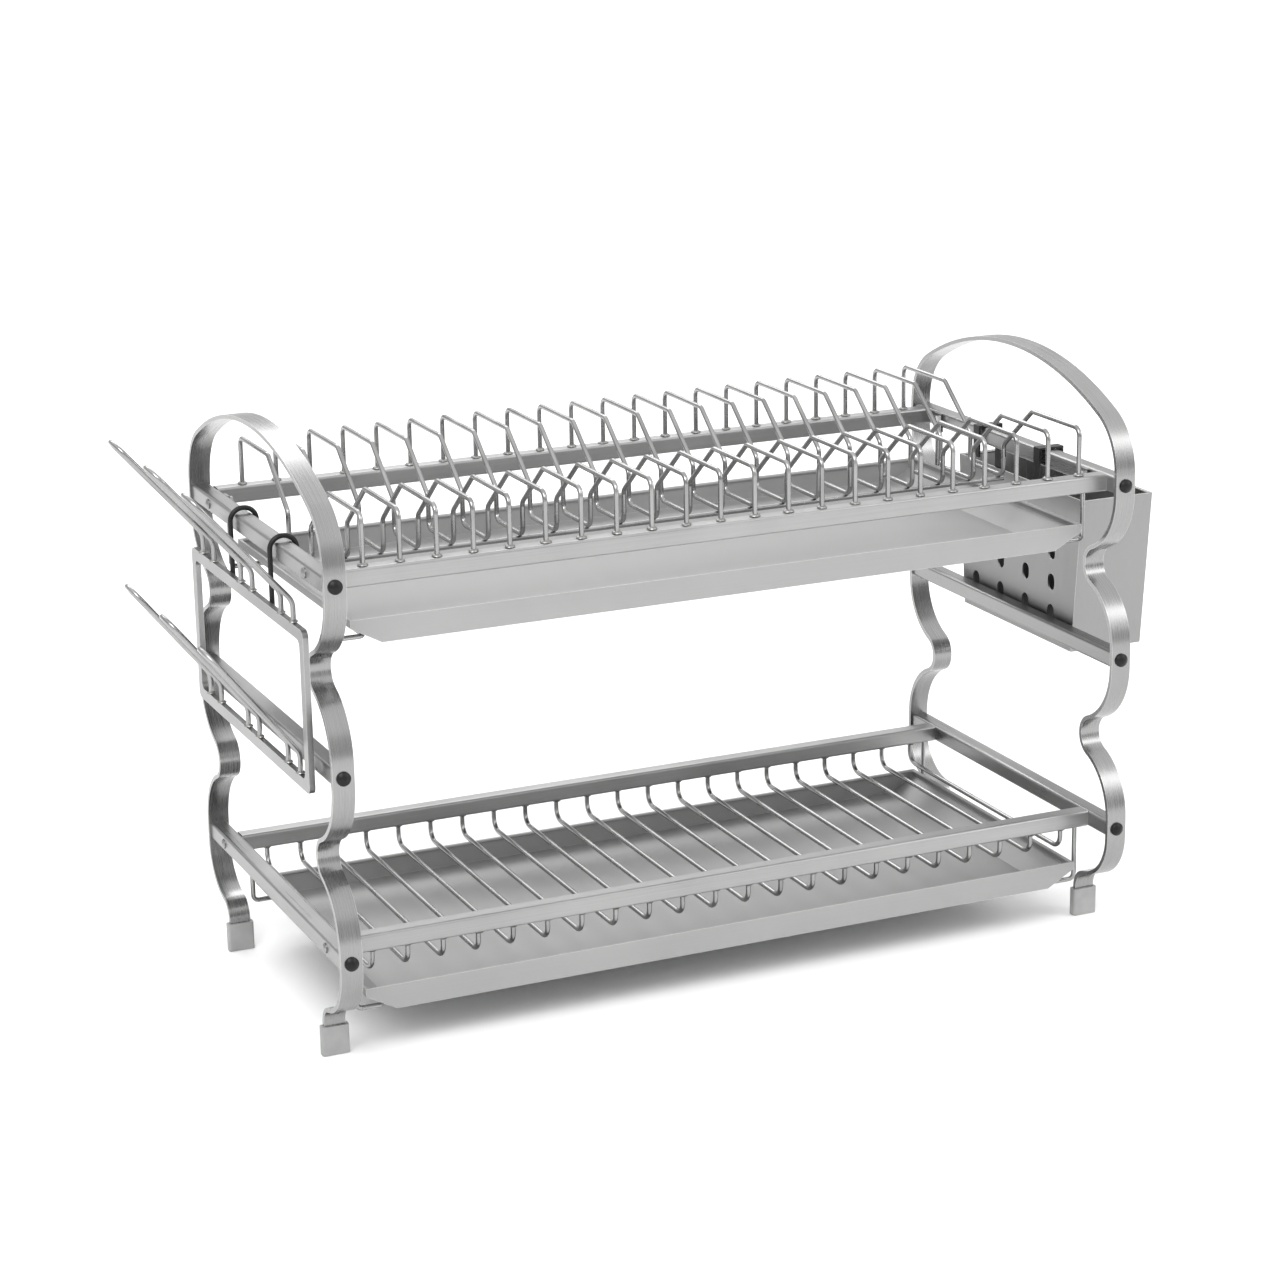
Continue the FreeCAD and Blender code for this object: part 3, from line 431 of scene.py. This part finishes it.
def studio_floor():
    """White floor, a hair below the feet."""
    bpy.ops.mesh.primitive_plane_add(size=24, location=(0, 0, -0.0004))
    floor = bpy.context.object
    floor.name = "studio_floor"
    finish = Finish("white_floor", 0.0, 0.9, grey(0.93))
    mottle = finish.noise(finish.place, scale=3.0)
    finish.set_colour(finish.shades(finish.spread(mottle, 0.0, 1.0), grey(0.92), grey(0.94)))
    floor.data.materials.append(finish.material)


def studio_sky(horizon, white_from, strength):
    """White overhead, down to grey at the horizon. white_from is the sine of the height
    above the horizon where the white starts."""
    world = bpy.data.worlds.new("studio")
    bpy.context.scene.world = world
    world.use_nodes = True
    nodes, links = world.node_tree.nodes, world.node_tree.links
    place = nodes.new("ShaderNodeTexCoord")
    split = nodes.new("ShaderNodeSeparateXYZ")
    ramp = nodes.new("ShaderNodeValToRGB")
    dark, light = ramp.color_ramp.elements
    dark.position = 0.0
    dark.color = (*grey(horizon), 1)
    light.position = white_from
    light.color = (*grey(1), 1)
    links.new(place.outputs["Generated"], split.inputs["Vector"])
    links.new(split.outputs["Z"], ramp.inputs["Fac"])
    links.new(ramp.outputs["Color"], nodes["Background"].inputs["Color"])
    nodes["Background"].inputs["Strength"].default_value = strength


def even_light(spread, strength):
    """Wide, weak light from above that keeps the far floor as pale as the near floor."""
    sun = bpy.data.lights.new("even", "SUN")
    sun.angle = spread
    sun.energy = strength
    lamp = bpy.data.objects.new("even", sun)
    lamp.location = (0, 0, 3)
    add_to_scene(lamp)


def soft_light(name, place, aim, size, power):
    """Rectangular light, turned from its place to its aim."""
    light = bpy.data.lights.new(name, "AREA")
    light.shape = "RECTANGLE"
    light.size, light.size_y = size
    light.energy = power
    lamp = bpy.data.objects.new(name, light)
    lamp.location = place
    lamp.rotation_euler = (Vector(aim) - Vector(place)).to_track_quat("-Z", "Y").to_euler()
    add_to_scene(lamp)


def camera(place, turn, lift, lean, lens):
    """Camera from its place, its angles in degrees and its lens in millimetres. Lift is
    measured from looking straight down."""
    view = bpy.data.cameras.new("camera")
    view.sensor_width = 36
    view.lens = lens
    view.clip_end = 60
    holder = bpy.data.objects.new("camera", view)
    holder.location = place
    holder.rotation_euler = (Matrix.Rotation(math.radians(turn), 3, "Z")
                             @ Matrix.Rotation(math.radians(lift), 3, "X")
                             @ Matrix.Rotation(math.radians(lean), 3, "Z")).to_euler()
    add_to_scene(holder)
    bpy.context.scene.camera = holder


bpy.context.scene.view_settings.view_transform = "Standard"
studio_floor()
studio_sky(horizon=0.72, white_from=0.7, strength=0.95)
even_light(spread=math.radians(120), strength=0.9)
soft_light("key", place=(-1.6, -1.8, 2.6), aim=(0, 0, 0.15), size=(1.6, 1.6), power=60)
soft_light("fill", place=(2.2, -1.6, 1.6), aim=(0, 0, 0.2), size=(1.4, 1.8), power=22)
soft_light("back", place=(0.4, 2.4, 2.2), aim=(0, 0, 0.2), size=(2.4, 1.2), power=30)
camera(place=(-0.8851, -1.9703, 0.8444), turn=-23.92, lift=90 - 16.125, lean=-0.96, lens=89.61)
